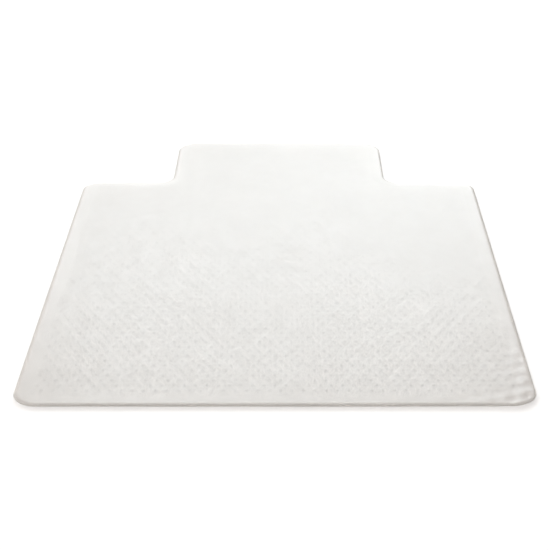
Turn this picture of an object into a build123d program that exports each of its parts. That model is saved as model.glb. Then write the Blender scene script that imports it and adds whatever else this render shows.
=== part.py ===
from build123d import *

import os
from math import copysign

# A clear vinyl chair mat with a lip, for low-pile carpet. It lies on the floor with +Z up. The
# wide end, where the chair rolls on, faces -Y, and the lip that goes under the desk points to
# +Y. The origin is on the floor, under the middle of the mat's bounding rectangle. Lengths are
# in millimetres.
#
# The real mat is one moulding of flexible PVC. Its regions are separate solids here, which meet
# face to face: the embossed field of the main panel and of the lip, the smooth bevelled border
# around them in one strip for each side, mitred at the corners, and the studs underneath.

# Plan
overall_width = 914.4
overall_depth = 1219.2
lip_width = 500.0
lip_depth = 254.0
front_corner_radius = 45.0
rear_corner_radius = 35.0
lip_corner_radius = 50.0
lip_root_radius = 40.0

# Sheet and border
stud_height = 4.0
sheet_thickness = 2.8
border_width = 28.0
bevel_width = 10.0
bevel_drop = 1.8

# Studs, in staggered rows
stud_root_radius = 2.3
stud_tip_radius = 1.0
stud_pitch = 20.0
row_pitch = 17.0
stud_edge_gap = 6.0

# How far past the main panel's field the lip's field begins, so that the line between them
# meets the curved roots of the lip at an open angle
lip_field_offset = 20.0

half_width = overall_width / 2
half_lip = lip_width / 2
lip_end = overall_depth / 2
front_edge = -overall_depth / 2
rear_edge = lip_end - lip_depth
sheet_top = stud_height + sheet_thickness
lip_field_start = rear_edge - border_width + lip_field_offset

# Each corner of the plan and the radius that rounds it, anticlockwise from the front left
plan_corners = [
    (Vector(-half_width, front_edge), front_corner_radius),
    (Vector(half_width, front_edge), front_corner_radius),
    (Vector(half_width, rear_edge), rear_corner_radius),
    (Vector(half_lip, rear_edge), lip_root_radius),
    (Vector(half_lip, lip_end), lip_corner_radius),
    (Vector(-half_lip, lip_end), lip_corner_radius),
    (Vector(-half_lip, rear_edge), lip_root_radius),
    (Vector(-half_width, rear_edge), rear_corner_radius),
]

# The border strip from each corner to the next
strip_names = [
    "border_front",
    "border_right",
    "border_rear_right",
    "border_lip_right",
    "border_lip_rear",
    "border_lip_left",
    "border_rear_left",
    "border_left",
]

os.makedirs("parts", exist_ok=True)


def write_node(part, name):
    """Labels a finished piece and writes it as the node of that name."""
    part.label = name
    export_step(part, f"parts/{name}.step")


def rounded_plan(inset):
    """The mat's plan as a flat face, with its edge moved in by the inset all round."""
    with BuildSketch() as plan:
        with BuildLine():
            Polyline(*[corner for corner, radius in plan_corners], close=True)
        make_face()
        for corner, radius in plan_corners:
            fillet(plan.vertices().sort_by_distance(corner)[0], radius=radius)
        if inset:
            offset(amount=-inset)
    return plan.sketch


def mitre_end(corner):
    """Where the mitre that starts at a corner ends: it runs diagonally inwards, past the border."""
    reach = border_width + front_corner_radius
    return corner - Vector(copysign(reach, corner.X), copysign(reach, corner.Y))


def strip_zone(index):
    """The corners of the zone between two neighbouring mitres, where one strip lies."""
    start = plan_corners[index][0]
    end = plan_corners[(index + 1) % len(plan_corners)][0]
    return [start, end, mitre_end(end), mitre_end(start)]


def stud_places():
    """The middle of each stud, in staggered rows that cover the embossed field."""
    studded = rounded_plan(border_width + stud_edge_gap).face()
    last_row = int(lip_end / row_pitch)
    last_column = int(half_width / stud_pitch)
    places = []
    for row in range(-last_row, last_row + 1):
        stagger = stud_pitch / 2 if row % 2 else 0
        for column in range(-last_column, last_column + 1):
            place = Vector(column * stud_pitch + stagger, row * row_pitch)
            if studded.is_inside(place):
                places.append(place)
    return places


def nearest_place(places, corner):
    """The stud that stands nearest to a corner of the plan."""
    return min(places, key=lambda place: (place - corner).length)


def build_studs(places, name):
    """Makes a group of studs, which taper from the sheet to flat tips on the floor."""
    with BuildPart() as studs:
        with Locations(*places):
            Cone(
                bottom_radius=stud_tip_radius,
                top_radius=stud_root_radius,
                height=stud_height,
                align=(Align.CENTER, Align.CENTER, Align.MIN),
            )
    write_node(studs.part, name)


# The embossed field, cut in two at the root of the lip
with BuildPart() as whole_field:
    with BuildSketch(Plane.XY.offset(stud_height)):
        add(rounded_plan(border_width))
    extrude(amount=sheet_thickness)

lip_cut = Plane(origin=(0, lip_field_start, 0), z_dir=(0, 1, 0))

with BuildPart() as field_main:
    add(whole_field)
    split(bisect_by=lip_cut, keep=Keep.BOTTOM)
write_node(field_main.part, "field_main")

with BuildPart() as field_lip:
    add(whole_field)
    split(bisect_by=lip_cut, keep=Keep.TOP)
write_node(field_lip.part, "field_lip")

# The border, a flat rim whose outer edge is bevelled so that a chair rolls onto it easily
with BuildPart() as whole_border:
    with BuildSketch(Plane.XY.offset(stud_height)):
        add(rounded_plan(0))
    extrude(amount=sheet_thickness)
    rim = whole_border.faces().sort_by(Axis.Z)[-1]
    chamfer(rim.outer_wire().edges(), length=bevel_width, length2=bevel_drop, reference=rim)
    with BuildSketch(Plane.XY.offset(stud_height)):
        add(rounded_plan(border_width))
    extrude(amount=sheet_thickness, mode=Mode.SUBTRACT)

for index, name in enumerate(strip_names):
    with BuildPart() as strip:
        add(whole_border)
        with BuildSketch():
            with BuildLine():
                Polyline(*strip_zone(index), close=True)
            make_face()
        extrude(amount=sheet_top, mode=Mode.INTERSECT)
    write_node(strip.part, name)

# The studs. The mat rests on those nearest its corners, and the others stand between them.
all_places = stud_places()
outward_corners = [corner for corner, radius in plan_corners if radius != lip_root_radius]
bearing_places = [nearest_place(all_places, corner) for corner in outward_corners]
main_places = []
lip_places = []
for place in all_places:
    if place in bearing_places:
        continue
    if place.Y > lip_field_start:
        lip_places.append(place)
    else:
        main_places.append(place)

build_studs(bearing_places, "studs_bearing")
build_studs(main_places, "studs_main")
build_studs(lip_places, "studs_lip")
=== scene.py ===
"""Looks of the clear vinyl chair mat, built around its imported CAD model.

The sheet is one closed piece, with an embossed field and a smooth bevelled border round it, and
the studs are groups that stand where the CAD model's studs stand. All of them share one gentle
lie of the sheet on the floor. Lengths are in metres.
"""

import math

import bmesh
import bpy
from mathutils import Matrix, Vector


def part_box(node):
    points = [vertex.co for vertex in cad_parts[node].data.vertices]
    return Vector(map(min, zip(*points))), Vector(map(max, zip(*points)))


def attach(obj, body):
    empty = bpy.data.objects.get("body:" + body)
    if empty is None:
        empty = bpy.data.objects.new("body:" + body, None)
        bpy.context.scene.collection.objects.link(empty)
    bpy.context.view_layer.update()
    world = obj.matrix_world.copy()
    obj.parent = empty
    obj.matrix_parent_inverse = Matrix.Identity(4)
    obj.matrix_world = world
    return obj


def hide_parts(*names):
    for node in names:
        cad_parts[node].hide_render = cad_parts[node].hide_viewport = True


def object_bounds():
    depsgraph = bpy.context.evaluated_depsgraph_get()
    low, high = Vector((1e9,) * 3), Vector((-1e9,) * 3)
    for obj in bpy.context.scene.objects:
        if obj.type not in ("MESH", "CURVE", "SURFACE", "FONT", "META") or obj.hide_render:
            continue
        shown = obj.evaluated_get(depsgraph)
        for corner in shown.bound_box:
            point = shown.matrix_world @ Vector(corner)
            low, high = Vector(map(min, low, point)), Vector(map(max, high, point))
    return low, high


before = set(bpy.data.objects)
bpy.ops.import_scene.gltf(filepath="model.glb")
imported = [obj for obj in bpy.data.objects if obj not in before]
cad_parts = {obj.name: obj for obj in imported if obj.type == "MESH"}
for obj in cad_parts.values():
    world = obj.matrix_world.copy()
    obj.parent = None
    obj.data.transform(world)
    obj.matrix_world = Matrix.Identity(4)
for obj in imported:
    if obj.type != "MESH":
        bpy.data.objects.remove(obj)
cad_low, cad_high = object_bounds()

# Sizes of the plan and the section. Those that a box gives come from the frame.
MM = 0.001
HALF_WIDTH = cad_high.x
FRONT_EDGE = cad_low.y
LIP_END = cad_high.y
REAR_EDGE = LIP_END - 254 * MM
HALF_LIP = 250 * MM
FLOOR_LEVEL = cad_low.z
SHEET_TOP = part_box("field_main")[1].z
SHEET_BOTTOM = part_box("field_main")[0].z
BORDER_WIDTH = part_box("field_main")[0].y - FRONT_EDGE
STUD_PITCH = 20 * MM
ROW_PITCH = 17 * MM

# Corners of the plan, anticlockwise from the front left: place, radius, and which way the
# outline turns there. The two at the root of the lip turn the other way.
PLAN = [
    ((-HALF_WIDTH, FRONT_EDGE), 45 * MM, 1),
    ((HALF_WIDTH, FRONT_EDGE), 45 * MM, 1),
    ((HALF_WIDTH, REAR_EDGE), 35 * MM, 1),
    ((HALF_LIP, REAR_EDGE), 40 * MM, -1),
    ((HALF_LIP, LIP_END), 50 * MM, 1),
    ((-HALF_LIP, LIP_END), 50 * MM, 1),
    ((-HALF_LIP, REAR_EDGE), 40 * MM, -1),
    ((-HALF_WIDTH, REAR_EDGE), 35 * MM, 1),
]
ALONG_EDGE = 7 * MM
ARC_STEPS = 16

# The field is cut into square cells, so that it can follow the lie of the sheet. A cut that
# passes this near a point of the outline goes through the point.
CELL = 7 * MM
CUT_SNAP = 0.1 * MM

# The border's section. A low crest runs along the top of the rounded bevel. The rim has no studs
# under it and hangs a little. A shallow groove runs where the border meets the field.
CREST_HEIGHT = 0.08 * MM
CREST_INSET = 9 * MM
CREST_HALF_WIDTH = 5 * MM
BEVEL_WIDTH = 6.5 * MM
BEVEL_DROP = 1.8 * MM
BEVEL_POWER = 1.8
RIM_HANG = 0.5 * MM
HANG_POWER = 3
GROOVE_DEPTH = 0.03 * MM
GROOVE_HALF_WIDTH = 0.9 * MM
RIM_START = BORDER_WIDTH - GROOVE_HALF_WIDTH
FIELD_START = BORDER_WIDTH + GROOVE_HALF_WIDTH
TOP_STEPS = 18
NOSE_STEPS = 4
UNDER_STEPS = 4

# A stud's section, as (radius, height), from the flare inside the sheet to the tip on the floor
STUD_SECTION = [
    (2.7 * MM, SHEET_BOTTOM + 0.12 * MM),
    (2.2 * MM, SHEET_BOTTOM - 0.35 * MM),
    (1.15 * MM, FLOOR_LEVEL + 0.45 * MM),
    (0.85 * MM, FLOOR_LEVEL + 0.1 * MM),
    (0.5 * MM, FLOOR_LEVEL),
]
STUD_SIDES = 12

# The lie of the sheet, as sums of sine waves: (height, turn per metre along X and Y, phase). The
# ripples are the marks of rolling and handling by the front right corner.
WAVE_HEIGHT = 0.16 * MM
WAVES = [
    (1.0, 9.0, 4.0, 0.6),
    (1.0, -6.5, 11.0, 2.1),
    (0.6, 21.0, -7.0, 4.0),
    (0.5, 5.0, 24.0, 1.2),
]
RIPPLE_HEIGHT = 0.35 * MM
RIPPLES = [
    (1.0, 150.0, 95.0, 0.0),
    (0.8, -70.0, 190.0, 1.7),
    (0.7, 230.0, -60.0, 0.4),
]

# How far from the right and front edges the ripples reach: a strip along the right edge, and a
# weaker one along the front edge
RIGHT_STRIP = (0.06, 0.2)
FRONT_STRIP = (0.16, 0.05)
FRONT_STRIP_WEIGHT = 0.5

# The vinyl: how much light goes through it, its clouds and haze, and its pebbles. Its darkest
# clouds are its colour times CLOUD_SHADE, and scales are per metre.
VINYL_IOR = 1.53
CLARITY = 0.6
COAT_ROUGHNESS = 0.12
CLOUD_SCALE = 14
CLOUD_DETAIL = 3
CLOUD_SHADE = 0.98
HAZE_SCALE = 60
PEBBLE_SIZE = 2.2 * MM

# The camera, at the photograph's viewing angle
CAMERA_PLACE = (0.0251, -2.548, 1.2594)
CAMERA_DIP = math.radians(27.295)
CAMERA_LENS = 87.4
CAMERA_SENSOR = 36
CAMERA_SHIFT = -0.0258

# The studio: a floor, a tent of light all round, and a softbox behind the mat. The tent's parts
# add to its level or take from it.
FLOOR_SIZE = 12
FLOOR_GAP = 0.2 * MM
FLOOR_WHITE = (0.95, 0.95, 0.95, 1)
FLOOR_GLOW = 0.3
BACKDROP_STRENGTH = 1.1
TENT_COLOUR = (1.0, 0.965, 0.935, 1)
TENT_LEVEL = 0.78
LOW_BAND = 0.75
HIGH_BAND = 1.1
RIGHT_SIDE = -0.55
LEFT_SIDE = 0.1
LOW_LEFT = 0.5
SOFTBOX_COLOUR = (0.85, 0.955, 1.0)
SOFTBOX_RADIANCE = 3.4
SOFTBOX_WIDTH = 2.5
SOFTBOX_HEIGHT = 1.5
SOFTBOX_PLACE = (-0.05, LIP_END + 2.2, 1.6)
SOFTBOX_TURN = (math.radians(-65), math.radians(12), 0)


def hang(inset):
    """How far the rim hangs below the field's level."""
    return RIM_HANG * max(0.0, 1 - inset / RIM_START) ** HANG_POWER


def rim_top(inset):
    """Height of the border's top: a low crest, then the rounded bevel."""
    from_crest = min(abs(inset - CREST_INSET) / CREST_HALF_WIDTH, 1.0)
    crest = CREST_HEIGHT * math.cos(math.pi / 2 * from_crest) ** 2
    bevel = BEVEL_DROP * max(0.0, 1 - inset / BEVEL_WIDTH) ** BEVEL_POWER
    return SHEET_TOP + crest - bevel - hang(inset)


def border_section():
    """Points of the border's section, as (inset, height), over the top and round the nose."""
    section = [
        (BORDER_WIDTH, SHEET_TOP - GROOVE_DEPTH),
        (BORDER_WIDTH - GROOVE_HALF_WIDTH / 3, SHEET_TOP - GROOVE_DEPTH / 3),
    ]
    nose_bottom = SHEET_BOTTOM - hang(0)
    nose = (rim_top(0) - nose_bottom) / 2
    for step in range(TOP_STEPS + 1):
        inset = RIM_START + (nose - RIM_START) * step / TOP_STEPS
        section.append((inset, rim_top(inset)))
    for step in range(1, NOSE_STEPS + 1):
        angle = math.pi * step / NOSE_STEPS
        section.append((nose - nose * math.sin(angle), nose_bottom + nose + nose * math.cos(angle)))
    for step in range(1, UNDER_STEPS + 1):
        inset = BORDER_WIDTH * step / UNDER_STEPS
        section.append((inset, SHEET_BOTTOM - hang(inset)))
    return section


def outline():
    """Points round the plan's rounded edge, anticlockwise, each with its inward normal."""
    places = [Vector(place) for place, radius, turn in PLAN]
    ways_out = []
    for index, place in enumerate(places):
        ways_out.append((places[(index + 1) % len(places)] - place).normalized())
    points = []
    for index, (_, radius, turn) in enumerate(PLAN):
        way_in = ways_out[index - 1]
        way_out = ways_out[index]
        centre = places[index] + (way_out - way_in) * radius
        for step in range(ARC_STEPS + 1):
            angle = math.pi / 2 * step / ARC_STEPS
            spoke = way_in * math.sin(angle) - way_out * math.cos(angle)
            points.append((centre + spoke * radius, -spoke * turn))
        after = (index + 1) % len(PLAN)
        start = places[index] + way_out * radius
        end = places[after] - way_out * PLAN[after][1]
        pieces = max(1, round((end - start).length / ALONG_EDGE))
        normal = Vector((-way_out.y, way_out.x))
        for piece in range(1, pieces):
            points.append((start.lerp(end, piece / pieces), normal))
    return points


def cell_crossings(start, end):
    """How far along a line, from 0 to 1, the edges of the field's cells cross it."""
    crossings = []
    for axis in (0, 1):
        low, high = sorted((start[axis], end[axis]))
        for number in range(math.ceil(low / CELL), math.floor(high / CELL) + 1):
            reach = number * CELL - low
            if CUT_SNAP < reach < high - low - CUT_SNAP:
                crossings.append((number * CELL - start[axis]) / (end[axis] - start[axis]))
    return sorted(crossings)


def outline_with_crossings():
    """The outline, with a point more wherever the edge of a cell reaches the field's edge."""
    points = []
    plain = outline()
    for index, (point, normal) in enumerate(plain):
        points.append((point, normal))
        next_point, next_normal = plain[(index + 1) % len(plain)]
        start = point + normal * FIELD_START
        end = next_point + next_normal * FIELD_START
        for along in cell_crossings(start, end):
            points.append((point.lerp(next_point, along), normal.lerp(next_normal, along)))
    return points


OUTLINE = outline_with_crossings()


def wave_sum(terms, x, y):
    """The sum of sine waves at a place, raised so that it is never below zero."""
    total = 0.0
    for height, along_x, along_y, phase in terms:
        total += height * (1 + math.sin(along_x * x + along_y * y + phase))
    return total


def near_corner(x, y, reach):
    """Falls from 1 at the front right corner, by the reach along X and along Y."""
    from_right = (HALF_WIDTH - x) / reach[0]
    from_front = (y - FRONT_EDGE) / reach[1]
    return math.exp(-(from_right**2) - from_front**2)


def lift(x, y):
    """How far the sheet stands above its lowest lie at a place: the real one is never flat."""
    near = near_corner(x, y, RIGHT_STRIP) + FRONT_STRIP_WEIGHT * near_corner(x, y, FRONT_STRIP)
    return WAVE_HEIGHT * wave_sum(WAVES, x, y) + RIPPLE_HEIGHT * near * wave_sum(RIPPLES, x, y)


def new_piece(name, bm, *materials):
    """Turns a bmesh into a smooth-shaded object of the scene, laid as the sheet lies."""
    for vertex in bm.verts:
        vertex.co.z += lift(vertex.co.x, vertex.co.y)
    bmesh.ops.recalc_face_normals(bm, faces=bm.faces)
    mesh = bpy.data.meshes.new(name)
    bm.to_mesh(mesh)
    bm.free()
    for material in materials:
        mesh.materials.append(material)
    mesh.shade_smooth()
    piece = bpy.data.objects.new(name, mesh)
    bpy.context.scene.collection.objects.link(piece)
    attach(piece, "root")
    return piece


def add_loop(bm, inset, height):
    """A closed loop of vertices at an inset from the mat's edge."""
    return [bm.verts.new((*(point + normal * inset), height)) for point, normal in OUTLINE]


def bridge(bm, first, second):
    """Quads between two closed loops of equal length."""
    faces = []
    for index in range(len(first)):
        after = (index + 1) % len(first)
        faces.append(bm.faces.new((first[index], first[after], second[after], second[index])))
    return faces


def make_sheet(embossed, smooth):
    """The whole sheet as one closed moulding: the embossed field and the smooth border round it."""
    bm = bmesh.new()
    top = add_loop(bm, FIELD_START, SHEET_TOP)
    underside = add_loop(bm, FIELD_START, SHEET_BOTTOM)
    bm.faces.new(top)
    bm.faces.new(list(reversed(underside)))
    for axis, low, high in ((0, -HALF_WIDTH, HALF_WIDTH), (1, FRONT_EDGE, LIP_END)):
        normal = Vector((1 - axis, axis, 0))
        for number in range(math.ceil(low / CELL), math.floor(high / CELL) + 1):
            everything = bm.verts[:] + bm.edges[:] + bm.faces[:]
            bmesh.ops.bisect_plane(
                bm, geom=everything, dist=CUT_SNAP, plane_co=normal * number * CELL, plane_no=normal
            )
    shoulder = add_loop(bm, BORDER_WIDTH + GROOVE_HALF_WIDTH / 3, SHEET_TOP - GROOVE_DEPTH / 3)
    loops = [add_loop(bm, inset, height) for inset, height in border_section()]
    bridge(bm, top, shoulder)
    bridge(bm, shoulder, loops[0])
    smooth_faces = bridge(bm, loops[-1], underside)
    for index in range(1, len(loops)):
        smooth_faces += bridge(bm, loops[index - 1], loops[index])
    for face in smooth_faces:
        face.material_index = 1
    return new_piece("sheet", bm, embossed, smooth)


def stud_places(node):
    """Where a CAD node's studs stand, in their staggered rows, read from its vertices."""
    places = set()
    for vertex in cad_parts[node].data.vertices:
        row = round(vertex.co.y / ROW_PITCH)
        stagger = STUD_PITCH / 2 if row % 2 else 0
        column = round((vertex.co.x - stagger) / STUD_PITCH)
        places.add((column * STUD_PITCH + stagger, row * ROW_PITCH))
    return sorted(places)


def add_ring(bm, x, y, radius, height):
    """A ring of vertices round a stud's middle."""
    ring = []
    for side in range(STUD_SIDES):
        angle = 2 * math.pi * side / STUD_SIDES
        place = (x + radius * math.cos(angle), y + radius * math.sin(angle), height)
        ring.append(bm.verts.new(place))
    return ring


def make_studs(name, places, material):
    """A group of studs, each flared where it meets the sheet and rounded at its tip."""
    bm = bmesh.new()
    for x, y in places:
        rings = [add_ring(bm, x, y, radius, height) for radius, height in STUD_SECTION]
        for index in range(1, len(rings)):
            bridge(bm, rings[index - 1], rings[index])
        bm.faces.new(rings[0])
        bm.faces.new(list(reversed(rings[-1])))
    return new_piece(name, bm, material)


class Nodes:
    """A material's or world's nodes, with short ways to add one and to join two."""

    def __init__(self, owner):
        owner.use_nodes = True
        self.tree = owner.node_tree
        self.tree.nodes.clear()

    def add(self, kind, **values):
        node = self.tree.nodes.new(kind)
        for key, value in values.items():
            setattr(node, key, value)
        return node

    def join(self, source, target):
        self.tree.links.new(source, target)

    def smooth(self, source, start, end):
        """Goes smoothly from 0 to 1 as a value goes from start to end, in either direction."""
        node = self.add("ShaderNodeMapRange", interpolation_type="SMOOTHSTEP")
        node.inputs["From Min"].default_value = start
        node.inputs["From Max"].default_value = end
        self.join(source, node.inputs["Value"])
        return node.outputs["Result"]

    def times(self, first, second):
        """The product of two values, each a socket or a number."""
        node = self.add("ShaderNodeMath", operation="MULTIPLY")
        for socket, value in zip(node.inputs, (first, second)):
            if isinstance(value, (int, float)):
                socket.default_value = value
            else:
                self.join(value, socket)
        return node.outputs["Value"]

    def sum(self, terms):
        """The sum of (factor, value) terms, where a value of None counts as 1."""
        total = None
        for factor, value in terms:
            node = self.add("ShaderNodeMath", operation="MULTIPLY_ADD")
            node.inputs[0].default_value = factor
            node.inputs[1].default_value = 1.0
            node.inputs[2].default_value = 0.0
            if value is not None:
                self.join(value, node.inputs[1])
            if total is not None:
                self.join(total, node.inputs[2])
            total = node.outputs["Value"]
        return total

    def ramp(self, source, stops):
        """A colour ramp over a value: stops are (position, grey or colour)."""
        node = self.add("ShaderNodeValToRGB")
        while len(node.color_ramp.elements) < len(stops):
            node.color_ramp.elements.new(1.0)
        for element, (position, shade) in zip(node.color_ramp.elements, stops):
            element.position = position
            element.color = (*shade, 1) if isinstance(shade, tuple) else (shade, shade, shade, 1)
        self.join(source, node.inputs["Fac"])
        return node.outputs["Color"]


def vinyl(name, colour, roughness, pebble_height, coat):
    """Frosted clear PVC, with a cloudy tint, uneven haze and fine pebbles."""
    material = bpy.data.materials.new(name)
    nodes = Nodes(material)
    place = nodes.add("ShaderNodeTexCoord").outputs["Object"]
    output = nodes.add("ShaderNodeOutputMaterial")
    shader = nodes.add("ShaderNodeBsdfPrincipled")
    shader.inputs["IOR"].default_value = VINYL_IOR
    shader.inputs["Transmission Weight"].default_value = CLARITY
    shader.inputs["Coat Weight"].default_value = coat
    shader.inputs["Coat Roughness"].default_value = COAT_ROUGHNESS
    nodes.join(shader.outputs["BSDF"], output.inputs["Surface"])

    clouds = nodes.add("ShaderNodeTexNoise")
    clouds.inputs["Scale"].default_value = CLOUD_SCALE
    clouds.inputs["Detail"].default_value = CLOUD_DETAIL
    nodes.join(place, clouds.inputs["Vector"])
    darker = tuple(channel * CLOUD_SHADE for channel in colour)
    nodes.join(
        nodes.ramp(clouds.outputs["Fac"], [(0.35, darker), (0.65, colour)]),
        shader.inputs["Base Color"],
    )
    haze = nodes.add("ShaderNodeTexNoise")
    haze.inputs["Scale"].default_value = HAZE_SCALE
    nodes.join(place, haze.inputs["Vector"])
    low, high = roughness
    nodes.join(
        nodes.ramp(haze.outputs["Fac"], [(0.3, low), (0.7, high)]), shader.inputs["Roughness"]
    )
    pebbles = nodes.add("ShaderNodeTexVoronoi", feature="SMOOTH_F1")
    pebbles.inputs["Scale"].default_value = 1 / PEBBLE_SIZE
    nodes.join(place, pebbles.inputs["Vector"])
    bump = nodes.add("ShaderNodeBump")
    bump.inputs["Distance"].default_value = pebble_height
    bump.inputs["Strength"].default_value = 1.0
    nodes.join(pebbles.outputs["Distance"], bump.inputs["Height"])
    nodes.join(bump.outputs["Normal"], shader.inputs["Normal"])
    return material


def make_floor():
    """A plain white floor, just under the studs' tips, with a slight glow that keeps it pale."""
    bm = bmesh.new()
    bmesh.ops.create_grid(bm, x_segments=8, y_segments=8, size=FLOOR_SIZE)
    mesh = bpy.data.meshes.new("floor")
    bm.to_mesh(mesh)
    bm.free()
    floor = bpy.data.objects.new("floor", mesh)
    floor.location.z = FLOOR_LEVEL - FLOOR_GAP
    bpy.context.scene.collection.objects.link(floor)
    material = bpy.data.materials.new("white_floor")
    nodes = Nodes(material)
    shader = nodes.add("ShaderNodeBsdfPrincipled")
    shader.inputs["Base Color"].default_value = FLOOR_WHITE
    shader.inputs["Roughness"].default_value = 1
    shader.inputs["Specular IOR Level"].default_value = 0
    shader.inputs["Emission Color"].default_value = (1, 1, 1, 1)
    shader.inputs["Emission Strength"].default_value = FLOOR_GLOW
    output = nodes.add("ShaderNodeOutputMaterial")
    nodes.join(shader.outputs["BSDF"], output.inputs["Surface"])
    mesh.materials.append(material)


def make_world():
    """A soft, warm white tent, brightest in two bands behind the mat and dim on the right.

    The camera sees a plain white backdrop in its place.
    """
    world = bpy.data.worlds.new("studio")
    bpy.context.scene.world = world
    nodes = Nodes(world)
    direction = nodes.add("ShaderNodeTexCoord").outputs["Generated"]
    split = nodes.add("ShaderNodeSeparateXYZ")
    nodes.join(direction, split.inputs["Vector"])
    right, ahead, up = split.outputs

    # Each runs from 0 to 1 between two values of the direction's right, ahead or up component
    behind = nodes.smooth(ahead, 0.3, 0.85)
    low_band = nodes.times(nodes.smooth(up, 0.08, 0.24), nodes.smooth(up, 0.64, 0.46))
    high_band = nodes.times(nodes.smooth(up, 0.55, 0.66), nodes.smooth(up, 0.80, 0.70))
    right_side = nodes.smooth(right, 0.1, 0.5)
    left_side = nodes.smooth(right, -0.1, -0.45)
    low_left = nodes.times(nodes.smooth(right, -0.3, -0.7), nodes.smooth(up, 0.3, 0.1))

    light = nodes.sum(
        [
            (TENT_LEVEL, None),
            (LOW_BAND, nodes.times(behind, low_band)),
            (HIGH_BAND, nodes.times(behind, high_band)),
            (RIGHT_SIDE, right_side),
            (LEFT_SIDE, left_side),
            (LOW_LEFT, low_left),
        ]
    )
    studio = nodes.add("ShaderNodeBackground")
    studio.inputs["Color"].default_value = TENT_COLOUR
    nodes.join(light, studio.inputs["Strength"])
    plain = nodes.add("ShaderNodeBackground")
    plain.inputs["Strength"].default_value = BACKDROP_STRENGTH
    seen = nodes.add("ShaderNodeMixShader")
    nodes.join(nodes.add("ShaderNodeLightPath").outputs["Is Camera Ray"], seen.inputs["Fac"])
    nodes.join(studio.outputs["Background"], seen.inputs[1])
    nodes.join(plain.outputs["Background"], seen.inputs[2])
    output = nodes.add("ShaderNodeOutputWorld")
    nodes.join(seen.outputs["Shader"], output.inputs["Surface"])


def make_softbox():
    """A wide low softbox behind the mat, whose sheen grows towards the mat's far end."""
    lamp = bpy.data.lights.new("softbox", "AREA")
    lamp.shape = "RECTANGLE"
    lamp.color = SOFTBOX_COLOUR
    lamp.size = SOFTBOX_WIDTH
    lamp.size_y = SOFTBOX_HEIGHT
    lamp.energy = SOFTBOX_RADIANCE * math.pi * SOFTBOX_WIDTH * SOFTBOX_HEIGHT
    holder = bpy.data.objects.new("softbox", lamp)
    holder.location = SOFTBOX_PLACE
    holder.rotation_euler = SOFTBOX_TURN
    holder.visible_camera = False
    bpy.context.scene.collection.objects.link(holder)


def make_camera():
    """Stands in front of the mat's wide end and looks down at it along +Y."""
    camera = bpy.data.cameras.new("camera")
    camera.sensor_width = CAMERA_SENSOR
    camera.lens = CAMERA_LENS
    camera.shift_x = CAMERA_SHIFT
    holder = bpy.data.objects.new("camera", camera)
    holder.location = CAMERA_PLACE
    holder.rotation_euler = (math.pi / 2 - CAMERA_DIP, 0, 0)
    bpy.context.scene.collection.objects.link(holder)
    bpy.context.scene.camera = holder


bpy.context.scene.view_settings.view_transform = "Standard"
make_camera()
make_floor()
make_world()
make_softbox()

embossed = vinyl(
    "embossed_vinyl",
    colour=(0.875, 0.845, 0.815),
    roughness=(0.30, 0.38),
    pebble_height=0.04 * MM,
    coat=0,
)
# The smooth vinyl is the same PVC as the embossed one, but its colour is set a shade darker. This
# is painted shade that offsets the brighter sheen of its coat and smoother top, so the border and
# field look alike. The studs use it too.
smooth = vinyl(
    "smooth_vinyl",
    colour=(0.86, 0.83, 0.80),
    roughness=(0.30, 0.36),
    pebble_height=0.004 * MM,
    coat=0.03,
)

sheet = make_sheet(embossed, smooth)
sheet_nodes = [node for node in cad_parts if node.startswith(("field_", "border_"))]
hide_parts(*sheet_nodes)

main_places = stud_places("studs_main")
half = len(main_places) // 2
for name, node, places in (
    ("studs_left", "studs_main", main_places[:half]),
    ("studs_right", "studs_main", main_places[half:]),
    ("studs_under_lip", "studs_lip", stud_places("studs_lip")),
    ("studs_at_corners", "studs_bearing", stud_places("studs_bearing")),
):
    studs = make_studs(name, places, smooth)
    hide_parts(node)
